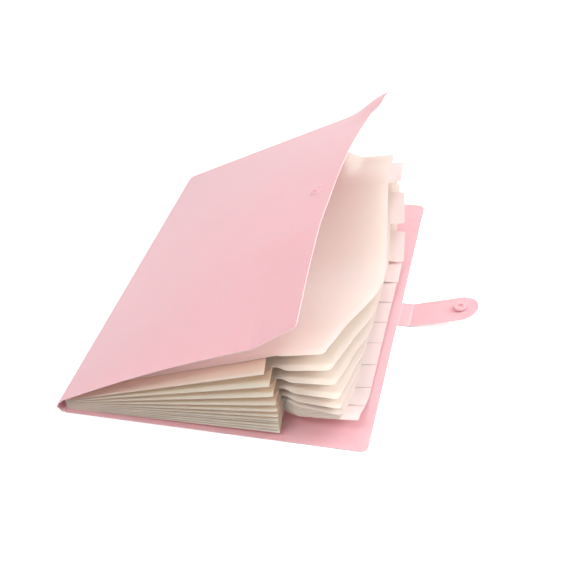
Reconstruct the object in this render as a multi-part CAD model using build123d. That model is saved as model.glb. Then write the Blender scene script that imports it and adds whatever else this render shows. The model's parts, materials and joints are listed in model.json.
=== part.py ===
from build123d import *
import os
from math import cos, radians, sin

# An accordion file folder of scored plastic sheet, lying on its back cover with
# the front cover lifted and the pockets fanned open. Sizes are in millimetres and
# angles in degrees. The origin is the centre of the back cover's underside: +X runs
# from the spine to the fore edge, +Y along the spine and +Z up. A sheet's rise is
# its angle from +X towards +Z, and a fold is the (x, z) of its line along Y.

# Covers
COVER_W = 232.0  # back cover, from the spine fold to the fore edge
COVER_L = 330.0  # both covers, along the spine
COVER_T = 0.8
CORNER_R = 6.0  # fore corners of the covers
FRONT_STEP = 20.0  # the front cover is this much narrower than the back cover
FRONT_RISE = 29.3
FRONT_SHUT = -0.9  # rise of the front cover when it lies on the closed stack
EAR_REACH = 10.0  # the far fore corner of the front cover flares out to a point
EAR_L = 37.0
FOLD_GAP = 0.3  # scored-through width between two sheets at a fold

# Score lines pressed into the sheets
SCORE_W = 0.9
SCORE_DEPTH = 0.25
FRONT_SCORE_INSETS = (44.5, 37.5)  # distances from the front cover's fore edge

# Spine, two strips that meet at an outward ridge
SPINE_STRIP = 5.6
SPINE_LOWER_RISE = 130.0
SPINE_UPPER_RISE = 61.0

# Film dividers, numbered from the front. Each stands on a root lip on the one below.
POCKET_RISES = (4.0, 3.3, 2.9, 2.1, 1.3, 0.5, 0.5, 0.4, 0.4, 0.4, 3.6)  # opening behind each divider
FILM_T = 0.25
LIP_H = 0.45
LIP_W = 0.5
LIP_CLEAR = 0.05
ROOT_INSET = 2.0  # from the spine fold to the divider roots
FORE_INSET = 20.0  # back cover's fore edge to the dividers' fore edge
FOLD_INSET = 20.0  # cover end to the inner fold of the pleats
EDGE_INSET = 14.0  # cover end to the divider's end, past the pleats
SWEEP_W = 10.0  # length of the curve from the fold out to the end
DIVIDER_CORNER_R = 5.0

# Index tabs, one for each divider, stepping from the near end to the far end
TAB_REACH = 12.0
TAB_SLOPE = 2.0
TAB_CORNER_R = 1.5
TAB_END_INSET = 20.0  # last tab to the dividers' far end

# Pleats that close both ends of each pocket
MOUTH_W = 44.0  # open end of the pleats to the dividers' fore edge
PLEAT_START = 8.0
PEAK_INSET = 6.0  # cover end to the outer fold
PLEAT_T = 0.14
PLEAT_CLEAR = 0.05
FLANGE_W = 3.0  # welded to the dividers

# Closing strap and its press snap
STRAP_W = 30.0
STRAP_RISE = 13.0
SNAP_REACH = 40.0  # strap's second fold to the snap, which is the centre of the round tip
SCORE_PITCH = 2.8  # the strap's second fold has a score line beside it
SNAP_R = 5.5
CAP_T = 0.6
STUD_FLANGE_T = 0.7
STUD_POST_R = 2.0
STUD_POST_H = 1.3
SOCKET_H = 1.9
SOCKET_FLOOR_T = 0.4
SHANK_R = 1.5
SNAP_CLEAR = 0.4  # post in socket
SEAT_CLEAR = 0.2  # stud flange to socket when closed
HOLE_CLEAR = 0.05  # shank in sheet
RIM_CHAMFER = 0.25

DIVIDERS = len(POCKET_RISES)
FRONT_W = COVER_W - FRONT_STEP  # front cover, from its fold to the fore edge
DIVIDER_W = COVER_W - ROOT_INSET - FORE_INSET  # root to fore edge
PLEAT_W = DIVIDER_W - MOUTH_W  # root to the open end of the pleats
HALF_L = COVER_L / 2
DIVIDER_PITCH = LIP_H + FILM_T + LIP_CLEAR
FOLD_Y = HALF_L - FOLD_INSET
EDGE_Y = HALF_L - EDGE_INSET
PEAK_Y = HALF_L - PEAK_INSET
SEATED = (Align.CENTER, Align.CENTER, Align.MIN)


def ahead(fold, rise, reach):
    """The fold line that lies reach further along a sheet."""
    return fold[0] + reach * cos(radians(rise)), fold[1] + reach * sin(radians(rise))


def above(fold, rise, height):
    """The line that lies height over a fold, square to its sheet."""
    return fold[0] - height * sin(radians(rise)), fold[1] + height * cos(radians(rise))


def sheet_plane(fold, rise):
    """A sheet's own plane: x from its fold, y along the fold, z square to the sheet."""
    run, climb = cos(radians(rise)), sin(radians(rise))
    return Plane(origin=(fold[0], 0, fold[1]), x_dir=(run, 0, climb), z_dir=(-climb, 0, run))


SPINE_FOLD = (-COVER_W / 2, COVER_T)
SPINE_RIDGE = ahead(SPINE_FOLD, SPINE_LOWER_RISE, SPINE_STRIP)
FRONT_FOLD = ahead(SPINE_RIDGE, SPINE_UPPER_RISE, SPINE_STRIP)

# The stud lies where the strap's socket comes down, and the strap's first fold to its
# second spans the closed stack, the front cover and the snap.
STUD_X = (COVER_W / 2 - SNAP_REACH - FRONT_FOLD[0]) / cos(radians(FRONT_SHUT))
SHUT_HEIGHT = above(ahead(FRONT_FOLD, FRONT_SHUT, STUD_X), FRONT_SHUT, COVER_T)[1]
BRIDGE_L = SHUT_HEIGHT + STUD_FLANGE_T + SEAT_CLEAR + SOCKET_H - COVER_T
STRAP_FOLD = (COVER_W / 2, COVER_T)
STRAP_TIP_FOLD = ahead(STRAP_FOLD, 0, BRIDGE_L)


def divider_root(number):
    """Fold line and rise of a divider. The number past the last is the back cover."""
    fold, rise = (SPINE_FOLD[0] + ROOT_INSET, COVER_T), 0.0
    for lower in range(DIVIDERS, number - 1, -1):
        if lower < DIVIDERS:
            fold = above(fold, rise, DIVIDER_PITCH)
        rise += POCKET_RISES[lower - 1]
    return fold, rise


def divider_height(number, x, offset):
    """Z at x of the plane that lies offset over a divider's fold."""
    if number > DIVIDERS:
        return COVER_T
    fold, rise = divider_root(number)
    start = above(fold, rise, offset)
    return start[1] + (x - start[0]) * sin(radians(rise)) / cos(radians(rise))


def scored(sheet, distances, face_z):
    """Press score lines along Y into the face at face_z."""
    for distance in distances:
        sheet -= Pos(distance, 0, face_z) * Box(SCORE_W, 2 * COVER_L, 2 * SCORE_DEPTH)
    return sheet


def cover_outline(width):
    """A cover from its fold to its fore edge, with rounded fore corners."""
    start = FOLD_GAP / 2
    face = Pos((start + width) / 2, 0) * Rectangle(width - start, COVER_L)
    return fillet(face.vertices().group_by(Axis.X)[-1], CORNER_R)


def back_cover():
    face = cover_outline(COVER_W - FOLD_GAP / 2)
    return Pos(SPINE_FOLD[0], 0, 0) * extrude(face, COVER_T)


def spine_strip(fold, rise):
    strip = Pos(SPINE_STRIP / 2, 0, 0) * Box(SPINE_STRIP - FOLD_GAP, COVER_L, COVER_T, align=SEATED)
    return sheet_plane(fold, rise) * strip


def front_cover():
    tip = (FRONT_W + EAR_REACH, HALF_L)
    ear_start = (FRONT_W, HALF_L - EAR_L)
    flare = Spline(ear_start, tip, tangents=[(0, 1), (0.35, 1)])
    inner = (FRONT_W - CORNER_R, HALF_L - EAR_L)
    edges = flare + Polyline(tip, (FRONT_W - CORNER_R, HALF_L), inner, ear_start)
    face = cover_outline(FRONT_W)
    sheet = extrude(face, COVER_T) + extrude(make_face(edges), COVER_T)
    sheet = scored(sheet, [FRONT_W - inset for inset in FRONT_SCORE_INSETS], COVER_T)
    sheet -= Pos(STUD_X, 0, 0) * Cylinder(SHANK_R + HOLE_CLEAR, 3 * COVER_T)
    return sheet_plane(FRONT_FOLD, FRONT_RISE) * sheet


def snap_place(part):
    """Carry a stud part from the snap's centre on the cover's inner face to its place."""
    return sheet_plane(FRONT_FOLD, FRONT_RISE) * Pos(STUD_X, 0, 0) * part


def strap_place(part):
    """Carry a socket part from the snap's centre on the strap's inner face to its place."""
    return sheet_plane(STRAP_TIP_FOLD, STRAP_RISE) * Pos(SNAP_REACH, 0, 0) * part


def disc(radius, height, bottom):
    """A snap disc with its outer rim broken."""
    part = Pos(0, 0, bottom) * Cylinder(radius, height, align=SEATED)
    return chamfer(part.edges().filter_by(GeomType.CIRCLE), min(RIM_CHAMFER, height / 3))


def snap_stud():
    flange = disc(SNAP_R, STUD_FLANGE_T, COVER_T)
    post = disc(STUD_POST_R, STUD_POST_H, COVER_T + STUD_FLANGE_T)
    shank = Cylinder(SHANK_R, COVER_T, align=SEATED)
    return snap_place(flange + post + shank)


def snap_stud_cap():
    return snap_place(disc(SNAP_R, CAP_T, -CAP_T))


def snap_socket():
    ring = disc(SNAP_R, SOCKET_H, 0)
    cavity_r = STUD_POST_R + SNAP_CLEAR
    ring -= Pos(0, 0, SOCKET_FLOOR_T) * Cylinder(cavity_r, SOCKET_H, align=SEATED)
    shank = Pos(0, 0, -COVER_T) * Cylinder(SHANK_R, COVER_T, align=SEATED)
    return strap_place(ring + shank)


def snap_socket_cap():
    return strap_place(disc(SNAP_R, CAP_T, -COVER_T - CAP_T))


def strap_bridge():
    start = FOLD_GAP / 2
    strip = Pos(BRIDGE_L / 2, 0, -COVER_T) * Box(BRIDGE_L - 2 * start, STRAP_W, COVER_T, align=SEATED)
    strip = scored(strip, (BRIDGE_L - SCORE_PITCH,), 0)
    return sheet_plane(STRAP_FOLD, 0) * strip


def strap_tab():
    start = FOLD_GAP / 2
    face = Pos((start + SNAP_REACH) / 2, 0) * Rectangle(SNAP_REACH - start, STRAP_W)
    face += Pos(SNAP_REACH, 0) * Circle(STRAP_W / 2)
    face -= Pos(SNAP_REACH, 0) * Circle(SHANK_R + HOLE_CLEAR)
    return sheet_plane(STRAP_TIP_FOLD, STRAP_RISE) * extrude(face, -COVER_T)


def tab_span(number):
    """Low and high Y of a divider's tab at its base."""
    pitch = (2 * EDGE_Y - TAB_END_INSET) / DIVIDERS
    low = -EDGE_Y + (DIVIDERS - number) * pitch
    return low, low + pitch


def divider_outline(number):
    """A divider's sheet: narrow between the pleats, full length past them, with its tab."""
    low, high = tab_span(number)
    fore, tip = DIVIDER_W, DIVIDER_W + TAB_REACH
    near_corner = [(fore, -EDGE_Y), (fore, low), (tip, low + TAB_SLOPE)]
    if number == DIVIDERS:
        near_corner = [(tip, low)]
    fore_edge = near_corner + [(tip, high - TAB_SLOPE), (fore, high), (fore, EDGE_Y)]
    sweep_end = PLEAT_W + SWEEP_W
    level = [(1, 0), (1, 0)]
    edges = Polyline((sweep_end, -EDGE_Y), *fore_edge, (sweep_end, EDGE_Y))
    edges += Spline((PLEAT_W, FOLD_Y), (sweep_end, EDGE_Y), tangents=level)
    edges += Polyline((PLEAT_W, FOLD_Y), (0, FOLD_Y), (0, -FOLD_Y), (PLEAT_W, -FOLD_Y))
    edges += Spline((PLEAT_W, -FOLD_Y), (sweep_end, -EDGE_Y), tangents=level)
    face = make_face(edges)
    ends = [EDGE_Y] if number == DIVIDERS else [-EDGE_Y, EDGE_Y]
    corners = [face.vertices().sort_by_distance((fore, end))[0] for end in ends]
    face = fillet(corners, DIVIDER_CORNER_R)
    return fillet(face.vertices().group_by(Axis.X)[-1], TAB_CORNER_R)


def divider(number):
    fold, rise = divider_root(number)
    sheet = Pos(0, 0, LIP_H) * extrude(divider_outline(number), FILM_T)
    lip_h = LIP_H - LIP_CLEAR
    lip = Pos(LIP_W / 2, 0, LIP_CLEAR) * Box(LIP_W, 2 * FOLD_Y, lip_h, align=SEATED)
    return sheet_plane(fold, rise) * (sheet + lip)


def pleat_section(number, x, side):
    """The pleat's bent strip, cut square to X: a V with its point outwards."""
    top = divider_height(number, x, LIP_H) - PLEAT_CLEAR
    bottom = divider_height(number + 1, x, LIP_H + FILM_T) + PLEAT_CLEAR
    middle, half = (top + bottom) / 2, (top - bottom) / 2
    inner_peak = PEAK_Y - (PEAK_Y - FOLD_Y) * PLEAT_T / half
    flange_y = FOLD_Y - FLANGE_W
    outside = [(flange_y, top), (FOLD_Y, top), (PEAK_Y, middle), (FOLD_Y, bottom), (flange_y, bottom)]
    low, high = bottom + PLEAT_T, top - PLEAT_T
    inside = [(flange_y, low), (FOLD_Y, low), (inner_peak, middle), (FOLD_Y, high), (flange_y, high)]
    points = [(x, side * y, z) for y, z in outside + inside]
    return make_face(Polyline(*points, close=True))


def pleat(number, side):
    (root_x, _), rise = divider_root(number)
    below = rise - POCKET_RISES[number - 1]
    end = root_x + PLEAT_W * cos(radians((rise + below) / 2))
    sections = [pleat_section(number, x, side) for x in (root_x + PLEAT_START, end)]
    return loft(sections, ruled=True)


def folder():
    """Every piece of the folder by its name."""
    pieces = {
        "back_cover": back_cover(),
        "spine_lower": spine_strip(SPINE_FOLD, SPINE_LOWER_RISE),
        "spine_upper": spine_strip(SPINE_RIDGE, SPINE_UPPER_RISE),
        "front_cover": front_cover(),
        "snap_stud": snap_stud(),
        "snap_stud_cap": snap_stud_cap(),
        "strap_bridge": strap_bridge(),
        "strap_tab": strap_tab(),
        "snap_socket": snap_socket(),
        "snap_socket_cap": snap_socket_cap(),
    }
    for number in range(1, DIVIDERS + 1):
        pieces[f"divider_{number}"] = divider(number)
        pieces[f"pleat_near_{number}"] = pleat(number, -1)
        pieces[f"pleat_far_{number}"] = pleat(number, 1)
    return pieces


os.makedirs("parts", exist_ok=True)
for name, piece in folder().items():
    export_step(piece, f"parts/{name}.step")
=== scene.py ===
"""Accordion file folder, lying on its back cover with the front cover lifted and the pockets fanned."""
import json
from math import cos, radians, sin, sqrt, tan

import bpy
import numpy as np
from mathutils import Matrix, Vector


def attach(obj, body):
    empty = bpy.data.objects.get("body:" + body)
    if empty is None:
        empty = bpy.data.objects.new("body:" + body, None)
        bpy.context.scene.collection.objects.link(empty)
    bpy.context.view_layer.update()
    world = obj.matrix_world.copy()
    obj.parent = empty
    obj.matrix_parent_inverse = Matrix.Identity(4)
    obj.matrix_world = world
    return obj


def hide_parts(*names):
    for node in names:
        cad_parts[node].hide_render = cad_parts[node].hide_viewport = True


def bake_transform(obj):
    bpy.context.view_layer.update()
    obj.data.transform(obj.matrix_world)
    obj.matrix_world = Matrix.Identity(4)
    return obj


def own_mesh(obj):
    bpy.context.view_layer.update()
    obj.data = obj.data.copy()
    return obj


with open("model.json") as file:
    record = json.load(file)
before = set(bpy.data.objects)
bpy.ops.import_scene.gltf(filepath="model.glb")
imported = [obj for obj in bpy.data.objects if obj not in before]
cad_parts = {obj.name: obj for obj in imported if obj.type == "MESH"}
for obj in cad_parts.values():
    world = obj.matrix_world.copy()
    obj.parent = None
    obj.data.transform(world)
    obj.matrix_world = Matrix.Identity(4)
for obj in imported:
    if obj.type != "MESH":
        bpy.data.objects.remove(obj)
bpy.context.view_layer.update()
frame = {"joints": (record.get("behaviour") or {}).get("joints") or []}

# Sizes are in millimetres and angles in degrees, in the folder's frame: +X from the spine
# to the fore edge, +Y along the spine to the far end, +Z up. A sheet has its own
# coordinates: reach from its fold, y along the fold, and lift square to the sheet.
MM = 0.001

# Folded sheet: covers, spine and strap
COVER_L = 330.0
COVER_W = 232.0
COVER_T = 0.8
COVER_EDGE_R = 0.15
CORNER_R = 6.0
FRONT_W = 210.0
FRONT_RISE = 29.3
FRONT_CORNER_R = 3.0
FOLD_R = 0.5
FOLD_JOIN = 3.0  # where a fold's own piece ends and the flat sheet takes over
FOLD_PALE = 0.8  # how far the sheet turns paler in a fold
FOLD_PALE_W = 0.9
FRONT_SCORES = (167.5, 174.5)
SCORE_BAND = (164.0, 178.0)  # the front cover's points lie closer together here
SCORE_W = 1.2
SCORE_DEPTH = 0.25
SCORE_PALE = 0.5
SCORE_FADE = (128.0, 158.0)  # the scores show only towards the near end
EAR_START = 124.0  # from here to the far end the fore edge flares, by a step and a slow curve
EAR_REACH = 15.0
EAR_STEP = (128.0, 144.0)
EAR_STEP_SHARE = 0.6

# How the lifted front cover bows: its middle stands higher and its ends hang lower
MIDDLE_RISE = 1.7  # an angle, like the two droops
NEAR_DROOP = 5.6
NEAR_DROOP_L = 115.0
NEAR_DROOP_POWER = 1.3
NEAR_BELLY = 3.0  # the near end arches up between the spine and the scores
FAR_DROOP = 5.0
FAR_DROOP_L = 160.0
FLAP_START = 171.0  # between its scores the near end bends up again
FLAP_BEND = 12.0
EAR_CURL = 9.0  # the far ear curls up
EAR_CURL_REACH = (178.0, 222.0)
EAR_CURL_START = 118.0

# Film dividers
POCKET_RISES = (4.0, 3.3, 2.9, 2.1, 1.3, 0.5, 0.5, 0.4, 0.4, 0.4, 3.6)  # from the top pocket down
DIVIDERS = len(POCKET_RISES)
DIVIDER_W = 210.0
DIVIDER_CORNER_R = 5.0
FILM_T = 0.25
FILM_EDGE_R = 0.06
LIP_H = 0.45  # a divider's film lies this far over its fold, and comes down to it at the root
ROOT_RAMP = 5.0
ROOT_BAND = 6.0  # a divider's points lie closer together here
LEAST_STEP = 0.015  # rows of points that lie closer than this are made one
END_SLANT = 0.02  # keeps the points along a divider's ends in order
TAB_REACH = 12.0
TAB_SLOPE = 2.0
TAB_OVERLAP = 3.0  # each tab runs this far under or over its neighbours
TAB_CORNER_R = 1.5
TAB_FOOT_R = 0.8
TAB_END_INSET = 20.0
TAB_PAINTED_PINK = (-4.0, 3.0)  # past the fore edge, where the back cover's pink, painted on as if seen through the film, comes in
TAB_BEND = (-2.0, 4.0)  # past the fore edge, where the tab bends down onto the tab below
TAB_BEND_L = 18.0  # along the tab, from its near side
TAB_DROP_MAX = 2.0
TAB_CLEAR = 0.1

# Pleats at both ends of the dividers
PLEAT_W = 166.0
PLEAT_START = 1.5
PLEAT_T = 0.14
PLEAT_EDGE_R = 0.05
PLEAT_CLEAR = 0.02  # between a pleat and the films that it joins
PLEAT_REST = 0.05  # between the lowest pleats and the back cover
FOLD_Y = 145.0  # where the pleats join the dividers
EDGE_Y = 151.0  # the dividers' ends, past the pleats
PEAK_Y = 161.5  # the pleats' outer folds
SWEEP_W = 14.0  # past its pleats a divider widens from FOLD_Y to EDGE_Y over this reach
SWEEP_END = PLEAT_W + SWEEP_W
FIRST_MARGIN = 4.5  # the first divider's film runs this far out past its pleats' fold
# how far each pleat's outer fold hangs below the middle of its pocket, at the pleat's end
PEAK_DROPS = (-1.2, -1.2, -1.5, -1.5, -1.0, 0.5, 2.2, 2.1, 3.9, 5.0, 1.5)
LOW_PLEATS = 9  # from this one down the pleats follow the lowest pocket
PLEAT_HIGHLIGHT_W = 0.9  # painted highlight: a facet fades paler towards its outer fold over this share of the band that stands in the light
PLEAT_HIGHLIGHT_LIMITS = (0.04, 0.45)  # as shares of the facet's width
SHUT_BASE = 0.2  # in the shut stack the low pleats' outer folds lie in slots over the back cover
SHUT_PITCH = 0.25
SHARE_LIMITS = (0.02, 0.98)

# How the film hangs in the opened folder
STACK_BASE = 1.2  # at mid length the fore edges lie on the back cover in a low stack
STACK_PITCH = 0.8
STACK_LIFT = 15.0  # the first divider stands clear of the stack by this much
STACK_LIFT_POWER = 6
SAG_Y = 5.0  # the dividers sag most here
SAG_SLOPE = 0.37  # fall of a fore edge from its pleat to the stack
SAG_ROUND = 0.15
FREE_END_DROP = 13.0  # far free end of the first divider, below its pleat's line
FREE_END_GAIN = 0.15
FREE_END_RAMP = 2.0
FREE_END_Y = 105.0
# how far each divider's free near corner hangs below its plane
NEAR_CORNER_DROPS = (4.0, 3.5, 4.0, 5.8, 6.6, 7.2, 5.4, 3.7, 2.1, 0.4, -1.2)
NEAR_CORNER_START = 172.0
NEAR_CORNER_Y = 85.0
NOTCH_LIFT = 1.2  # the film stands up a little where it comes free of its pleats

# Strap and press snap
STRAP_W = 30.0
STRAP_RISE = 13.0
STRAP_CURL = 0.5
STRAP_SKEW = -4.0  # its root is set off towards the near end
SNAP_REACH = 40.0
SNAP_R = 5.5
STUD_REACH = 192.9  # where the folded strap brings the socket
# the snap's profiles are (radius, height) corners, from the middle out
STUD_PROFILE = ((0.02, 2.0), (1.5, 1.95), (2.0, 1.6), (2.1, 0.75),
                (3.2, 0.5), (3.9, 0.85), (4.9, 0.8), (SNAP_R, 0.0))
SOCKET_PROFILE = ((0.02, 0.5), (2.0, 0.45), (2.3, 1.5), (2.9, 1.85), (4.0, 1.9), (5.0, 1.6), (SNAP_R, 0.0))
CAP_PROFILE = ((0.02, 0.45), (3.6, 0.5), (4.6, 0.6), (SNAP_R, 0.0))
PROFILE_R = 0.18
PROFILE_SIDES = 2.1  # a rounding takes up less than half of either side

# Photograph's camera
CAMERA_AT = (201.32, -680.94, 533.38)
CAMERA_AZIMUTH = 14.926
CAMERA_ELEVATION = 36.402
CAMERA_ROLL = -3.138
CAMERA_FOCAL = 1043.02 / 573  # focal length as a share of the picture's width
SENSOR_W = 36.0

# Table and light
FLOOR_HALF = 6000.0
FLOOR_Z = -0.2
FLOOR_GLOW = 0.6
DOME_HEIGHTS = (0.05, 0.5)  # the dome brightens between these shares of its height
DOME_LEVELS = (0.36, 0.49)
SOFTBOXES = (  # name, place, aim and size in metres, and power in watts
    ("overhead_softbox", (0.15, 0.4, 1.35), (0, 0, 0.03), (1.2, 0.9), 5.5),
    ("side_softbox", (1.15, 0.35, 0.75), (0.05, -0.05, 0.03), (0.9, 0.6), 11.5),
    ("front_softbox", (-0.4, -0.85, 1.3), (0, -0.05, 0.05), (0.7, 0.35), 6.3),
)

HALF_L = COVER_L / 2
FORE_X = COVER_W / 2
JOINTS = {joint["name"]: joint for joint in frame["joints"]}


def fold_of(joint):
    """The (x, z) of a joint's fold line."""
    x, _, z = JOINTS[joint]["pos_m"]
    return x / MM, z / MM


SPINE_FOLD = fold_of("spine_lower_fold")
SPINE_RIDGE = fold_of("spine_upper_fold")
FRONT_FOLD = fold_of("cover_hinge")
STRAP_FOLD = fold_of("strap_root_fold")
STRAP_TIP_FOLD = fold_of("strap_tip_fold")


def linear(hex_colour):
    """An sRGB hex colour as linear RGBA."""
    values = [int(hex_colour[i:i + 2], 16) / 255 for i in (1, 3, 5)]
    return [v / 12.92 if v <= 0.04045 else ((v + 0.055) / 1.055) ** 2.4 for v in values] + [1]


def add_node(tree, kind, settings=None, **links):
    """Add a shader node. A link is a node's output socket or a plain value.

    A link has its input's name, or i and the input's number where several share a name.
    """
    node = tree.nodes.new(kind)
    for name, value in (settings or {}).items():
        setattr(node, name, value)
    for name, value in links.items():
        numbered = name[0] == "i" and name[1:].isdigit()
        socket = node.inputs[int(name[1:]) if numbered else name.replace("_", " ")]
        if isinstance(value, bpy.types.NodeSocket):
            tree.links.new(value, socket)
        else:
            socket.default_value = value
    return node


def new_material(name):
    """A material with its node tree and its shader."""
    material = bpy.data.materials.new(name)
    material.use_nodes = True
    tree = material.node_tree
    return material, tree, tree.nodes["Principled BSDF"]


def cells_per_metre(size_mm):
    """Noise scale whose cells are about this size."""
    return 1 / (size_mm * MM)


POLYPROPYLENE_IOR = 1.49
EMBOSS_DEPTH = 0.05


def clouded(tree, where, cloud_mm, detail, deep, pale):
    """A plastic's bulk that clouds between two colours: how dense the clouds are, and the colour."""
    cloud = add_node(tree, "ShaderNodeTexNoise", Vector=where,
                     Scale=cells_per_metre(cloud_mm), Detail=detail)
    tint = add_node(tree, "ShaderNodeMix", {"data_type": "RGBA"}, Factor=cloud.outputs["Fac"],
                    i6=linear(deep), i7=linear(pale))
    return cloud.outputs["Fac"], tint.outputs[2]


def recoloured(tree, tint, attribute, hex_colour):
    """A tint that gives way to another colour where the attribute marks the piece."""
    share = add_node(tree, "ShaderNodeAttribute", {"attribute_name": attribute})
    local = add_node(tree, "ShaderNodeMix", {"data_type": "RGBA"}, Factor=share.outputs["Fac"],
                     i6=tint, i7=linear(hex_colour))
    return local.outputs[2]


def embossed(tree, where, cell_mm, detail, strength):
    """The bumps of a surface that a textured roller pressed."""
    cells = add_node(tree, "ShaderNodeTexNoise", Vector=where,
                     Scale=cells_per_metre(cell_mm), Detail=detail)
    bump = add_node(tree, "ShaderNodeBump", Strength=strength, Distance=EMBOSS_DEPTH * MM,
                    Height=cells.outputs["Fac"])
    return bump.outputs["Normal"]


def pink_polypropylene():
    """Extruded polypropylene sheet, pastel pink: a soft satin gloss over a faint grain.

    The bulk is a little cloudy, and a fold or a score turns paler where the sheet was
    stretched.
    """
    material, tree, shader = new_material("pink_polypropylene_sheet")
    where = add_node(tree, "ShaderNodeTexCoord").outputs["Object"]
    cloud, tint = clouded(tree, where, cloud_mm=55, detail=2.0, deep="#f5c2c9", pale="#f8c9cf")
    tree.links.new(recoloured(tree, tint, "stretched", "#fcdde0"), shader.inputs["Base Color"])
    # the pressed grain is about 0.3 mm, drawn at 1.2 mm so that it shows
    tree.links.new(embossed(tree, where, cell_mm=1.2, detail=3.0, strength=0.05), shader.inputs["Normal"])
    gloss = add_node(tree, "ShaderNodeMapRange", Value=cloud, To_Min=0.34, To_Max=0.44)
    tree.links.new(gloss.outputs["Result"], shader.inputs["Roughness"])
    shader.inputs["IOR"].default_value = POLYPROPYLENE_IOR
    # some light passes through and comes out warmer
    shader.inputs["Subsurface Weight"].default_value = 1.0
    shader.inputs["Subsurface Radius"].default_value = (1.0, 0.8, 0.8)
    shader.inputs["Subsurface Scale"].default_value = 0.7 * MM
    return material


def pale_cut_edge():
    """The sheet's die-cut edge: paler and duller than its faces, with faint drag marks; the paleness is
    partly its own, partly painted highlight.
    """
    material, tree, shader = new_material("pale_cut_edge")
    where = add_node(tree, "ShaderNodeTexCoord").outputs["Object"]
    _, tint = clouded(tree, where, cloud_mm=2, detail=2.0, deep="#f8cfd3", pale="#fbdcdf")
    tree.links.new(tint, shader.inputs["Base Color"])
    shader.inputs["Roughness"].default_value = 0.6
    shader.inputs["IOR"].default_value = POLYPROPYLENE_IOR
    return material


def milky_film(name, deep, pale, scatter, painted_light="#f9e2e0"):
    """Natural polypropylene film: milky ivory that lets light and colour through.

    A fine matte emboss keeps its highlights broad. Where the attribute marks it, one colour
    paints light on: on a tab over the back cover, that cover's pink as if seen through the
    film; on a pleat, a painted highlight towards its outer fold, where the fold catches light.
    """
    material, tree, shader = new_material(name)
    where = add_node(tree, "ShaderNodeTexCoord").outputs["Object"]
    _, tint = clouded(tree, where, cloud_mm=40, detail=3.0, deep=deep, pale=pale)
    # painted light: the tabs' see-through pink and a highlight along the pleats' outer folds
    tree.links.new(recoloured(tree, tint, "painted_light", painted_light), shader.inputs["Base Color"])
    # the emboss is about 0.4 mm, drawn at 1.5 mm so that it shows
    tree.links.new(embossed(tree, where, cell_mm=1.5, detail=2.0, strength=0.08), shader.inputs["Normal"])
    shader.inputs["Roughness"].default_value = 0.5
    shader.inputs["IOR"].default_value = POLYPROPYLENE_IOR
    shader.inputs["Subsurface Weight"].default_value = 1.0
    shader.inputs["Subsurface Radius"].default_value = (0.95, 0.9, 0.85)
    shader.inputs["Subsurface Scale"].default_value = scatter * MM
    return material


def snap_plastic():
    """Injection-moulded snap in the sheet's pink: glossier, with faint flow marks."""
    material, tree, shader = new_material("moulded_snap_plastic")
    where = add_node(tree, "ShaderNodeTexCoord").outputs["Object"]
    flow, tint = clouded(tree, where, cloud_mm=4, detail=2.0, deep="#f5bac0", pale="#f8c4c9")
    tree.links.new(tint, shader.inputs["Base Color"])
    gloss = add_node(tree, "ShaderNodeMapRange", Value=flow, To_Min=0.2, To_Max=0.3)
    tree.links.new(gloss.outputs["Result"], shader.inputs["Roughness"])
    shader.inputs["IOR"].default_value = POLYPROPYLENE_IOR
    return material


SHEET = pink_polypropylene()
SHEET_EDGE = pale_cut_edge()
FILM = milky_film("milky_divider_film", "#fbe9de", "#fcefe6", scatter=0.4)
# the film's cut edge is paler than its faces: a painted highlight where the thin edges catch the light
FILM_EDGE = milky_film("milky_film_cut_edge", "#fcf0e8", "#fef6f0", scatter=0.1)
# the pleats' film: a darker, warmer copy of the divider film, painted shade for the bellows in their recess
PLEAT_FILM_PAINTED_SHADE = milky_film("milky_pleat_film_painted_shade", "#efd9c4", "#f3dfcc", scatter=0.25, painted_light="#fff1e2")
SNAP = snap_plastic()


def smooth(value, low, high):
    """0 below low, 1 above high and a smooth step between them."""
    t = np.clip((value - low) / (high - low), 0, 1)
    return t * t * (3 - 2 * t)


def unsmooth(share):
    """How far along a smooth step from 0 to 1 this share is reached."""
    return 0.5 - np.sin(np.arcsin(1 - 2 * share) / 3)


def unit(vector):
    """The vector's direction, one long."""
    return vector / np.linalg.norm(vector)


def turn_at(before, corner, after):
    """Angle that a line turns by at a corner, in radians."""
    return np.arccos(np.clip(unit(corner - before) @ unit(after - corner), -1, 1))


def corner_curve(before, corner, after, cut, steps):
    """Points that round a line's corner, from cut before it to cut past it."""
    start = corner + unit(before - corner) * cut
    end = corner + unit(after - corner) * cut
    t = np.linspace(0, 1, steps)[:, None]
    return (1 - t) ** 2 * start + 2 * t * (1 - t) * corner + t ** 2 * end


def toward(fold, rise, reach):
    """The (x, z) that lies reach along a sheet from its fold."""
    return fold[0] + reach * cos(radians(rise)), fold[1] + reach * sin(radians(rise))


def on_sheet(fold, rise, reach, y, lift):
    """Points of a sheet, in the folder's frame."""
    run, climb = cos(radians(rise)), sin(radians(rise))
    reach, y, lift = np.broadcast_arrays(reach, y, lift)
    return np.stack([fold[0] + reach * run - lift * climb, y, fold[1] + reach * climb + lift * run], -1)


def grid_faces(rows, columns):
    """Quads between neighbouring rows and columns of grid points."""
    at = np.arange(rows * columns).reshape(rows, columns)
    return np.stack([at[:-1, :-1], at[1:, :-1], at[1:, 1:], at[:-1, 1:]], -1).reshape(-1, 4)


def add_object(name, data):
    """A new object in the scene."""
    added = bpy.data.objects.new(name, data)
    bpy.context.scene.collection.objects.link(added)
    return added


def add_mesh(name, points, faces, materials):
    """A smooth-shaded piece from points in millimetres."""
    mesh = bpy.data.meshes.new(name)
    mesh.from_pydata((np.asarray(points).reshape(-1, 3) * MM).tolist(), [], np.asarray(faces).tolist())
    mesh.polygons.foreach_set("use_smooth", [True] * len(mesh.polygons))
    for material in materials:
        mesh.materials.append(material)
    return add_object(name, mesh)


def mark(piece, name, values):
    """Keep a value from 0 to 1 at each point, for the piece's material."""
    attribute = piece.data.attributes.new(name, "FLOAT", "POINT")
    attribute.data.foreach_set("value", np.asarray(values, np.float32).ravel())


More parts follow.
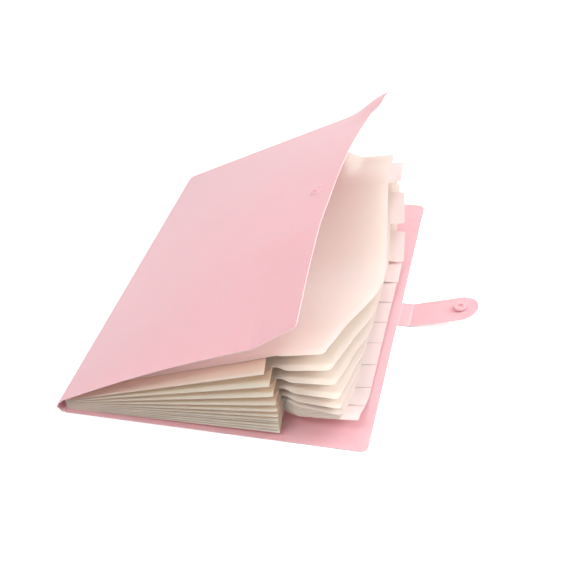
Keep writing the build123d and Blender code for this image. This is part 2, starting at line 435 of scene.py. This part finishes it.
def thicken(piece, thickness, edge_r):
    """Give a sheet its thickness on its outer side, with broken edges."""
    solid = piece.modifiers.new("thickness", "SOLIDIFY")
    solid.thickness = thickness * MM
    solid.offset = 1
    solid.use_even_offset = True
    solid.material_offset_rim = len(piece.data.materials) - 1
    edge = piece.modifiers.new("broken_edge", "BEVEL")
    edge.width = edge_r * MM
    edge.segments = 2
    edge.limit_method = "ANGLE"
    edge.angle_limit = radians(50)
    edge.harden_normals = True


def sheet_piece(name, points, thickness=COVER_T, materials=(SHEET, SHEET_EDGE), edge_r=COVER_EDGE_R):
    """A sheet from a grid of points, thickened towards its faces' normals."""
    rows, columns = points.shape[:2]
    piece = add_mesh(name, points, grid_faces(rows, columns), materials)
    thicken(piece, thickness, edge_r)
    return piece


def flatten_on_body(piece, body, fold, rise, lift=0.0):
    """Ride on a sheet's body, with a mesh of its own; it keeps the opened folder's bow or sag.

    The plane that lies lift over the sheet's fold is worked out as an anchor that nothing uses.
    """
    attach(piece, body)
    anchor = tuple(on_sheet(fold, rise, 0.0, 0.0, lift) * MM)
    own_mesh(piece)


def corner_reach(y, full, radius=CORNER_R):
    """Reach of a fore edge whose corners are rounded, at each y."""
    past = np.clip(np.abs(y) - (HALF_L - radius), 0, radius)
    return full - radius + np.sqrt(radius ** 2 - past ** 2)


def end_stations(count, radius=CORNER_R):
    """Y stations along a cover, closer together at its rounded corners."""
    corner = HALF_L - radius + radius * np.sin(np.linspace(0, np.pi / 2, 9))
    middle = np.linspace(-corner[0], corner[0], count)
    return np.concatenate([-corner[:0:-1], middle, corner[1:]])


def back_cover():
    """The sheet that the folder lies on. It lies flat, with its inner face up."""
    y = end_stations(60)[:, None]
    share = np.linspace(0, 1, 40)[None, :]
    start = SPINE_FOLD[0] + FOLD_JOIN
    reach = start + (corner_reach(y, FORE_X) - start) * share
    points = np.stack(np.broadcast_arrays(reach, y, COVER_T), -1)
    piece = sheet_piece("back_cover_sheet", points)
    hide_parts("back_cover")
    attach(piece, "back_cover")


def front_edge(y):
    """Reach of the front cover's fore edge: a rounded near corner and a flared far ear."""
    near = np.where(y < 0, corner_reach(y, FRONT_W, FRONT_CORNER_R), FRONT_W)
    out = np.clip((y - EAR_START) / (HALF_L - EAR_START), 0, 1)
    ear = EAR_STEP_SHARE * smooth(y, *EAR_STEP) + (1 - EAR_STEP_SHARE) * out ** 2
    return near + EAR_REACH * ear


def front_lift(reach, y):
    """How the lifted front cover bows away from its flat plane."""
    along = np.maximum(reach - FOLD_JOIN, 0)
    near = np.clip((NEAR_DROOP_L - HALF_L - y) / NEAR_DROOP_L, 0, 1) ** NEAR_DROOP_POWER
    far = np.clip((y - HALF_L + FAR_DROOP_L) / FAR_DROOP_L, 0, 1) ** 2
    droop = NEAR_DROOP * near + FAR_DROOP * far - MIDDLE_RISE
    flap = np.maximum(reach - FLAP_START, 0) * tan(radians(FLAP_BEND)) * near
    belly = NEAR_BELLY * np.sin(np.pi * np.clip(along / (FLAP_START - FOLD_JOIN), 0, 1)) * near
    ear = EAR_CURL * smooth(reach, *EAR_CURL_REACH) * smooth(y, EAR_CURL_START, HALF_L)
    return belly + flap + ear - along * np.sin(np.radians(droop))


def front_cover():
    """The lifted cover, from its fold to its flared fore edge."""
    y = end_stations(90, FRONT_CORNER_R)[:, None]
    scores = [score + offset for score in FRONT_SCORES for offset in (-SCORE_W / 2, 0, SCORE_W / 2)]
    fixed = np.concatenate([np.linspace(FOLD_JOIN, SCORE_BAND[0], 44), scores, SCORE_BAND[1:]])[None, :]
    share = np.linspace(0, 1, 13)[None, 1:]
    outer = fixed[0, -1] + (front_edge(y) - fixed[0, -1]) * share
    reach = np.concatenate([np.broadcast_to(fixed, (len(y), fixed.shape[1])), outer], 1)
    on_score = np.isin(reach, FRONT_SCORES) * smooth(-y, *SCORE_FADE)
    points = on_sheet(FRONT_FOLD, FRONT_RISE, reach, y, front_lift(reach, y) - SCORE_DEPTH * on_score)
    piece = sheet_piece("front_cover_sheet", points[::-1])
    mark(piece, "stretched", SCORE_PALE * on_score[::-1])
    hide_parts("front_cover")
    flatten_on_body(piece, "front_cover", FRONT_FOLD, FRONT_RISE)


def rounded_bend(before, fold, after, steps=8):
    """(x, z) points from one line to the next, with the bend between them rounded."""
    before, fold, after = (np.array(p, float) for p in (before, fold, after))
    cut = FOLD_R * tan(turn_at(before, fold, after) / 2)
    curve = corner_curve(before, fold, after, cut, steps)
    lead_in = before + (curve[0] - before) * np.linspace(0, 1, 4)[:-1, None]
    lead_out = curve[-1] + (after - curve[-1]) * np.linspace(0, 1, 4)[1:, None]
    return np.concatenate([lead_in, curve, lead_out])


def folded_strip(name, bend, fold, half_width, middle_y=0.0):
    """A strip of sheet along Y that turns over a fold line."""
    y = middle_y + np.linspace(-half_width, half_width, 24)[:, None]
    x, z = bend[None, :, 0], bend[None, :, 1]
    points = np.stack(np.broadcast_arrays(x, y, z), -1)
    piece = sheet_piece(name, points)
    away = np.hypot(bend[:, 0] - fold[0], bend[:, 1] - fold[1])
    pale = FOLD_PALE * np.exp(-(away / FOLD_PALE_W) ** 2)
    mark(piece, "stretched", np.broadcast_to(pale, points.shape[:2]))
    return piece


def blend_over(piece, fold, before, after):
    """Bake the strip's place into its points; its fold, start and end are read but not used."""
    fold, before, after = (np.array(p, float) for p in (fold, before, after))
    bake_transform(piece)


def spine():
    """The spine's two strips, as three folds that meet halfway along each strip."""
    inner = (SPINE_FOLD[0] + FOLD_JOIN, COVER_T)
    lower_mid = [(a + b) / 2 for a, b in zip(SPINE_FOLD, SPINE_RIDGE)]
    upper_mid = [(a + b) / 2 for a, b in zip(SPINE_RIDGE, FRONT_FOLD)]
    cover = toward(FRONT_FOLD, FRONT_RISE, FOLD_JOIN)
    folds = [
        ("spine_lower_crease", inner, SPINE_FOLD, lower_mid, ("back_cover", "spine_lower"), "spine_lower"),
        ("spine_ridge_crease", lower_mid, SPINE_RIDGE, upper_mid, ("spine_lower", "spine_upper"), None),
        ("spine_upper_crease", upper_mid, FRONT_FOLD, cover, ("spine_upper", "front_cover"), "spine_upper"),
    ]
    for name, before, fold, after, bodies, node in folds:
        piece = folded_strip(name, rounded_bend(before, fold, after), fold, HALF_L)
        blend_over(piece, fold, before, after)
        if node:
            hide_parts(node)


def strap():
    """The closing strap: root fold, scored second fold and round-ended tab."""
    half = STRAP_W / 2
    mid = ((STRAP_FOLD[0] + STRAP_TIP_FOLD[0]) / 2, COVER_T)
    tab_start = toward(STRAP_TIP_FOLD, STRAP_RISE, FOLD_JOIN)
    root = np.array([(x, COVER_T) for x in np.linspace(STRAP_FOLD[0], mid[0], 12)])
    piece = folded_strip("strap_root_crease", root, STRAP_FOLD, half, STRAP_SKEW)
    blend_over(piece, STRAP_FOLD, (0, COVER_T), mid)
    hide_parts("strap_bridge")
    bend = rounded_bend(mid, STRAP_TIP_FOLD, tab_start)
    piece = folded_strip("strap_tip_crease", bend, STRAP_TIP_FOLD, half, STRAP_SKEW)
    blend_over(piece, STRAP_TIP_FOLD, mid, tab_start)

    angle = np.linspace(-np.pi / 2, np.pi / 2, 33)[:, None]
    share = np.linspace(0, 1, 28)[None, :]
    y = half * np.sin(angle)
    end = SNAP_REACH + half * np.cos(angle)
    reach = FOLD_JOIN + (end - FOLD_JOIN) * share
    lift = STRAP_CURL * (np.maximum(reach - SNAP_REACH, 0) / half) ** 2
    skew = STRAP_SKEW * np.clip(1 - (reach - FOLD_JOIN) / (SNAP_REACH - FOLD_JOIN), 0, 1)
    points = on_sheet(STRAP_TIP_FOLD, STRAP_RISE, reach, y + skew, lift)
    tab = sheet_piece("strap_tab_sheet", points)
    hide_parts("strap_tab")
    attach(tab, "strap_tab")


def rounded_profile(corners, steps=4):
    """A snap's profile with its inner corners rounded by short curves."""
    corners = np.array(corners)
    line = [corners[:1]]
    for before, corner, after in zip(corners, corners[1:], corners[2:]):
        shorter = min(np.linalg.norm(before - corner), np.linalg.norm(after - corner))
        cut = min(PROFILE_R, shorter / PROFILE_SIDES)
        line.append(corner_curve(before, corner, after, cut, steps))
    return np.concatenate(line + [corners[-1:]])


def turned(name, corners, node, place, bow=None, under=False):
    """A snap part turned from its (radius, height) profile, on a sheet's outer or under face.

    Its points lie in the face and a modifier raises them.
    """
    steps = 48
    turn = np.linspace(0, 2 * np.pi, steps, endpoint=False)[:, None]
    radius, height = rounded_profile(corners).T
    fold, rise, reach = place
    along, y = np.broadcast_arrays(reach + radius * np.cos(turn), radius * np.sin(turn))
    lift = bow(along, y) if bow else np.zeros_like(along)
    points = on_sheet(fold, rise, along, y, lift + (0 if under else COVER_T))
    at = np.arange(steps * len(radius)).reshape(steps, len(radius))
    after = np.roll(at, -1, axis=0)
    order = [at[:, :-1], at[:, 1:], after[:, 1:], after[:, :-1]]
    faces = np.stack(order[::-1] if under else order, -1).reshape(-1, 4)
    piece = add_mesh(name, points, faces, [SNAP])
    group = piece.vertex_groups.new(name="height")
    for column, share in enumerate(height / height.max()):
        group.add(at[:, column].tolist(), float(share), "REPLACE")
    raised = piece.modifiers.new("raised", "DISPLACE")
    raised.vertex_group = group.name
    raised.direction = "NORMAL"
    raised.mid_level = 0
    raised.strength = height.max() * MM
    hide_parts(node)
    return piece


def press_snap():
    """Stud and cap on the front cover, socket and cap on the strap."""
    on_cover = (FRONT_FOLD, FRONT_RISE, STUD_REACH)
    on_strap = (STRAP_TIP_FOLD, STRAP_RISE, SNAP_REACH)
    for name, profile, node, under in (("snap_stud_button", STUD_PROFILE, "snap_stud", False),
                                       ("snap_stud_back", CAP_PROFILE, "snap_stud_cap", True)):
        piece = turned(name, profile, node, on_cover, front_lift, under)
        flatten_on_body(piece, "front_cover", FRONT_FOLD, FRONT_RISE, 0.0 if under else COVER_T)
    for name, profile, node, under in (("snap_socket_ring", SOCKET_PROFILE, "snap_socket", False),
                                       ("snap_socket_back", CAP_PROFILE, "snap_socket_cap", True)):
        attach(turned(name, profile, node, on_strap, under=under), "strap_tab")


def divider_rise(number):
    """Rise of a divider over the back cover."""
    return sum(POCKET_RISES[number - 1:])


def divider_fold(number):
    """The (x, z) of a divider's fold line."""
    return fold_of(f"pocket_{number}")


def tab_span(number):
    """Low and high Y of a divider's tab at its base."""
    pitch = (2 * EDGE_Y - TAB_END_INSET) / DIVIDERS
    low = -EDGE_Y + (DIVIDERS - number) * pitch
    return low - TAB_OVERLAP, low + pitch + TAB_OVERLAP


def rounded_line(corners, steps=5):
    """A line through (y, reach, radius) corners, each rounded by its radius."""
    corners = np.array(corners)
    places = corners[:, :2]
    line = [places[:1]]
    for before, corner, after, radius in zip(places, places[1:], places[2:], corners[1:, 2]):
        cut = radius * tan(turn_at(before, corner, after) / 2)
        line.append(corner_curve(before, corner, after, cut, steps))
    return np.concatenate(line + [places[-1:]])


def fore_edge(number):
    """A divider's fore edge with its tab, as (y, reach) points from near to far."""
    low, high = tab_span(number)
    tip = DIVIDER_W + TAB_REACH
    corners = [(-EDGE_Y, SWEEP_END, 0)]
    if number == DIVIDERS:
        corners += [(-EDGE_Y + END_SLANT, tip, TAB_CORNER_R)]
    else:
        corners += [(-EDGE_Y + END_SLANT, DIVIDER_W, DIVIDER_CORNER_R)]
        if low > -EDGE_Y + DIVIDER_CORNER_R:
            corners += [(low, DIVIDER_W, TAB_FOOT_R)]
        corners += [(low + TAB_SLOPE, tip, TAB_CORNER_R)]
    corners += [(high - TAB_SLOPE, tip, TAB_CORNER_R), (high, DIVIDER_W, TAB_FOOT_R)]
    corners += [(EDGE_Y - END_SLANT, DIVIDER_W, DIVIDER_CORNER_R), (EDGE_Y, SWEEP_END, 0)]
    return rounded_line(corners)[1:-1]


def sweep_reach(y):
    """Where a divider starts past its pleats: the curve from the fold out to the end."""
    out = np.clip((np.abs(y) - FOLD_Y) / (EDGE_Y - FOLD_Y), 0, 1)
    return PLEAT_W + SWEEP_W * unsmooth(out)


def sag_share(y, resting):
    """How far the film sags along its length: none at the pleats, all where it rests on the stack."""
    low, high = FOLD_Y + SAG_Y, FOLD_Y - SAG_Y
    t = np.clip(np.where(y < SAG_Y, (SAG_Y - y) / low, (y - SAG_Y) / high), 0, 1)
    t = np.clip((t - resting) / (1 - resting), 0, 1)
    rounded = np.sqrt(t ** 2 + SAG_ROUND ** 2) - SAG_ROUND
    return 1 - rounded / (sqrt(1 + SAG_ROUND ** 2) - SAG_ROUND)


def stack_height(number):
    """Height of a divider's fore edge where it has sagged most."""
    above = DIVIDERS - number
    lift = STACK_LIFT * (above / (DIVIDERS - 1)) ** STACK_LIFT_POWER
    return COVER_T + STACK_BASE + STACK_PITCH * above + lift


def film_lift(number, reach, y):
    """The film's lift over its divider's flat plane: the root weld, the sag and the free ends."""
    fold, rise = divider_fold(number), divider_rise(number)
    fall = fold[1] + DIVIDER_W * sin(radians(rise)) - stack_height(number)
    resting = max(1 - fall / (SAG_SLOPE * FOLD_Y), 0)
    sag = fall * reach / DIVIDER_W * sag_share(y, resting)
    root = LIP_H * smooth(reach, 0.0, ROOT_RAMP)
    free = smooth(reach, PLEAT_W, SWEEP_END + FREE_END_RAMP) * smooth(y, FREE_END_Y, EDGE_Y)
    drop = FREE_END_DROP + FREE_END_GAIN * np.maximum(reach - SWEEP_END, 0)
    droop = drop * rise / divider_rise(1)
    outward = np.maximum(reach - NEAR_CORNER_START, 0) / (DIVIDER_W - NEAR_CORNER_START)
    notch = NOTCH_LIFT * smooth(reach, PLEAT_W, SWEEP_END) * np.clip(1 - outward, 0, 1)
    corner = (notch - NEAR_CORNER_DROPS[number - 1] * outward) * smooth(-y, NEAR_CORNER_Y, EDGE_Y)
    return root - sag - droop * free + corner


def tab_drop(number):
    """How far a tab's near side bends down to lie on the tab below."""
    if number == DIVIDERS:
        return 0.0
    low, _ = tab_span(number)
    reach = DIVIDER_W + TAB_REACH / 2
    heights = [on_sheet(divider_fold(n), divider_rise(n), reach, low, film_lift(n, reach, low))[2]
               for n in (number, number + 1)]
    return np.clip(heights[0] - heights[1] - FILM_T - TAB_CLEAR, 0, TAB_DROP_MAX)


def divider_lift(number, reach, y):
    """The film's lift, with its tab bent down at the near side."""
    low, _ = tab_span(number)
    bent = smooth(reach - DIVIDER_W, *TAB_BEND) * (1 - smooth(y, low, low + TAB_BEND_L))
    return film_lift(number, reach, y) - tab_drop(number) * bent


def divider(number):
    """A divider's film: the sheet between its pleats, the wider part past them and the tab."""
    edge = fore_edge(number)
    inner_y = FOLD_Y + FIRST_MARGIN if number == 1 else FOLD_Y
    extra = np.concatenate([np.linspace(-FOLD_Y, FOLD_Y, 76), [-inner_y, inner_y]])
    y = np.unique(np.round(np.concatenate([edge[:, 0], extra]), 4))
    y = y[np.concatenate([[True], np.diff(y) > LEAST_STEP])]
    by_pleats = np.abs(y) <= inner_y + 1e-6
    fore = np.interp(y, edge[:, 0], edge[:, 1])
    start = sweep_reach(y)
    outer = start[:, None] + (fore - start)[:, None] * np.linspace(0, 1, 15)
    root = np.linspace(0, ROOT_BAND, 6)
    inner = np.concatenate([root, np.linspace(2 * ROOT_BAND, PLEAT_W, 24)])[:-1]
    points, index = [], {}

    def point(row, column, reach):
        if (row, column) not in index:
            index[row, column] = len(points)
            points.append((reach, y[row]))
        return index[row, column]

    faces = []
    for row in range(len(y) - 1):
        # each column's reach at this row and at the next one
        columns = list(zip(range(outer.shape[1]), outer[row], outer[row + 1]))
        if by_pleats[row] and by_pleats[row + 1]:
            columns = [(column - len(inner), reach, reach) for column, reach in enumerate(inner)] + columns
        for (left, left_here, left_next), (right, right_here, right_next) in zip(columns, columns[1:]):
            faces.append((point(row, left, left_here), point(row, right, right_here),
                          point(row + 1, right, right_next), point(row + 1, left, left_next)))
    reach, along = np.array(points).T
    fold, rise = divider_fold(number), divider_rise(number)
    placed = on_sheet(fold, rise, reach, along, divider_lift(number, reach, along))
    piece = add_mesh(f"divider_{number}_film", placed, faces, [FILM, FILM_EDGE])
    # painted light: the back cover's pink on the tab, as if seen through the film
    mark(piece, "painted_light", smooth(reach - DIVIDER_W, *TAB_PAINTED_PINK))
    thicken(piece, FILM_T, FILM_EDGE_R)
    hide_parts(f"divider_{number}")
    flatten_on_body(piece, f"divider_{number}", fold, rise, LIP_H)


def pleat_line(number, reach, y, lift):
    """Points along a sheet of the stack; the number past the last is the back cover."""
    if number > DIVIDERS:
        fold, rise, lift = divider_fold(DIVIDERS), 0.0, PLEAT_REST
    else:
        fold, rise = divider_fold(number), divider_rise(number)
    return on_sheet(fold, rise, reach, y, lift)


def pleat_bodies(number):
    """The two bodies that a pleat bends between, the travel between them and its outer fold's place.

    The place is along the bend: the upper body's share there brings the fold into the
    pleat's own slot in the shut stack.
    """
    if number < LOW_PLEATS:
        bodies = f"divider_{number + 1}", f"divider_{number}"
        travel = PLEAT_W * (sin(radians(divider_rise(number))) - sin(radians(divider_rise(number + 1))))
        share = 0.5 - PEAK_DROPS[number - 1] / travel
    else:
        bodies = "back_cover", f"divider_{DIVIDERS}"
        travel = PLEAT_W * sin(radians(divider_rise(DIVIDERS)))
        above, below = (pleat_line(n, PLEAT_W, 0, 0)[2] for n in (number, number + 1))
        open_height = (above + below) / 2 - PEAK_DROPS[number - 1]
        shut_height = COVER_T + SHUT_BASE + SHUT_PITCH * (DIVIDERS - number)
        share = (open_height - shut_height) / travel
    return *bodies, travel, unsmooth(np.clip(share, *SHARE_LIMITS))


def pleat_folds(number, side, reach):
    """A pleat's upper, lower and outer fold lines."""
    upper = pleat_line(number, reach, side * FOLD_Y, LIP_H - PLEAT_CLEAR)
    lower = pleat_line(number + 1, reach, side * FOLD_Y, LIP_H + FILM_T + PLEAT_CLEAR)
    peak = (upper + lower) / 2
    peak[:, 1] = side * PEAK_Y
    peak[:, 2] -= PEAK_DROPS[number - 1] * reach / PLEAT_W
    return upper, lower, peak


def pleat(number, side, end):
    """One pocket's bellows at one end: two film facets that meet in an outer fold."""
    reach = np.linspace(PLEAT_START, PLEAT_W, 40)
    upper, lower, peak = pleat_folds(number, side, reach)
    edge_above = pleat_folds(number - 1, side, reach)[2] if number > 1 else upper
    shown = (edge_above - peak)[:, 2:] / (PEAK_Y - FOLD_Y)
    highlight_w = np.clip(PLEAT_HIGHLIGHT_W * shown, *PLEAT_HIGHLIGHT_LIMITS)
    below, above, travel, peak_at = pleat_bodies(number)
    # stations from the inner fold to the outer one, closer together at the outer
    share = np.sin(np.linspace(0, np.pi / 2, 12))[None, :, None]
    for facet, sheet_edge in (("upper", upper), ("lower", lower)):
        follows_above = facet == "upper" or LOW_PLEATS <= number < DIVIDERS
        edge_at = 1.0 if follows_above else 0.0
        points = sheet_edge[:, None, :] * (1 - share) + peak[:, None, :] * share
        # a bulge across the facet, from its sheet edge to its outer fold
        bend = smooth(edge_at + (peak_at - edge_at) * share[..., 0], 0, 1)
        straight = bend[:, :1] + (bend[:, -1:] - bend[:, :1]) * share[..., 0]
        points[..., 2] += (bend - straight) * travel * reach[:, None] / PLEAT_W
        flip = (side > 0) == (facet == "upper")
        piece = sheet_piece(f"pleat_{end}_{number}_{facet}", points[::-1] if flip else points, PLEAT_T,
                            (PLEAT_FILM_PAINTED_SHADE, FILM_EDGE), PLEAT_EDGE_R)
        # painted highlight towards the outer fold, over the band that stands in the light
        pale = smooth(share[..., 0], 1 - highlight_w, 1)
        mark(piece, "painted_light", pale[::-1] if flip else pale)
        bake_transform(piece)
        if facet == "upper":
            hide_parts(f"pleat_{end}_{number}")


def set_camera():
    """The photograph's view, solved from the back cover's corners."""
    azimuth, elevation, roll = (radians(v) for v in (CAMERA_AZIMUTH, CAMERA_ELEVATION, CAMERA_ROLL))
    back = Vector((sin(azimuth) * cos(elevation), -cos(azimuth) * cos(elevation), sin(elevation)))
    level = Vector((0, 0, 1)).cross(back).normalized()
    upright = back.cross(level)
    right = cos(roll) * level + sin(roll) * upright
    up = cos(roll) * upright - sin(roll) * level
    camera = add_object("camera", bpy.data.cameras.new("camera"))
    camera.data.sensor_width = SENSOR_W
    camera.data.lens = CAMERA_FOCAL * SENSOR_W
    camera.data.clip_start = 0.01
    placed = Matrix((right, up, back)).transposed().to_4x4()
    placed.translation = Vector(CAMERA_AT) * MM
    camera.matrix_world = placed
    bpy.context.scene.camera = camera


def seen_directly(tree):
    """1 for rays that show the background itself, in the view, in gloss and through glass."""
    path = add_node(tree, "ShaderNodeLightPath")
    shown = path.outputs["Is Camera Ray"]
    for kind in ("Is Glossy Ray", "Is Transmission Ray"):
        either = add_node(tree, "ShaderNodeMath", {"operation": "MAXIMUM"}, i0=shown, i1=path.outputs[kind])
        shown = either.outputs[0]
    return shown


def white_floor():
    """A pale matt table top that keeps the folder's shadow."""
    material, tree, shader = new_material("matt_white_table")
    shader.inputs["Base Color"].default_value = linear("#ededed")
    shader.inputs["Roughness"].default_value = 0.9
    shader.inputs["Specular IOR Level"].default_value = 0.1
    shader.inputs["Emission Color"].default_value = linear("#ffffff")
    glow = add_node(tree, "ShaderNodeMath", {"operation": "MULTIPLY"},
                    i0=seen_directly(tree), i1=FLOOR_GLOW)
    tree.links.new(glow.outputs[0], shader.inputs["Emission Strength"])
    corners = [(x * FLOOR_HALF, y * FLOOR_HALF, FLOOR_Z) for x, y in ((-1, -1), (1, -1), (1, 1), (-1, 1))]
    floor = add_mesh("floor", corners, [(0, 1, 2, 3)], [material])


def add_softbox(name, at, aim, size, power):
    """A rectangular area light that points at its aim."""
    light = bpy.data.lights.new(name, "AREA")
    light.shape = "RECTANGLE"
    light.size, light.size_y = size
    light.energy = power
    lamp = add_object(name, light)
    lamp.location = at
    lamp.rotation_euler = (Vector(aim) - Vector(at)).to_track_quat("-Z", "Y").to_euler()


def set_light():
    """A white dome, dimmer low down and full white only where it is seen, and the softboxes."""
    world = bpy.data.worlds.new("studio")
    world.use_nodes = True
    tree = world.node_tree
    background = tree.nodes["Background"]
    background.inputs["Color"].default_value = linear("#ffffff")
    direction = add_node(tree, "ShaderNodeTexCoord").outputs["Generated"]
    height = add_node(tree, "ShaderNodeSeparateXYZ", Vector=direction).outputs["Z"]
    dome = add_node(tree, "ShaderNodeMapRange", Value=height, From_Min=DOME_HEIGHTS[0],
                    From_Max=DOME_HEIGHTS[1], To_Min=DOME_LEVELS[0], To_Max=DOME_LEVELS[1])
    level = add_node(tree, "ShaderNodeMapRange", Value=seen_directly(tree),
                     To_Min=dome.outputs["Result"], To_Max=1.0)
    tree.links.new(level.outputs["Result"], background.inputs["Strength"])
    bpy.context.scene.world = world
    for softbox in SOFTBOXES:
        add_softbox(*softbox)


set_camera()
back_cover()
spine()
front_cover()
strap()
press_snap()
for number in range(1, DIVIDERS + 1):
    divider(number)
    for side, end in ((-1, "near"), (1, "far")):
        pleat(number, side, end)

white_floor()
set_light()
bpy.context.scene.view_settings.view_transform = "Standard"
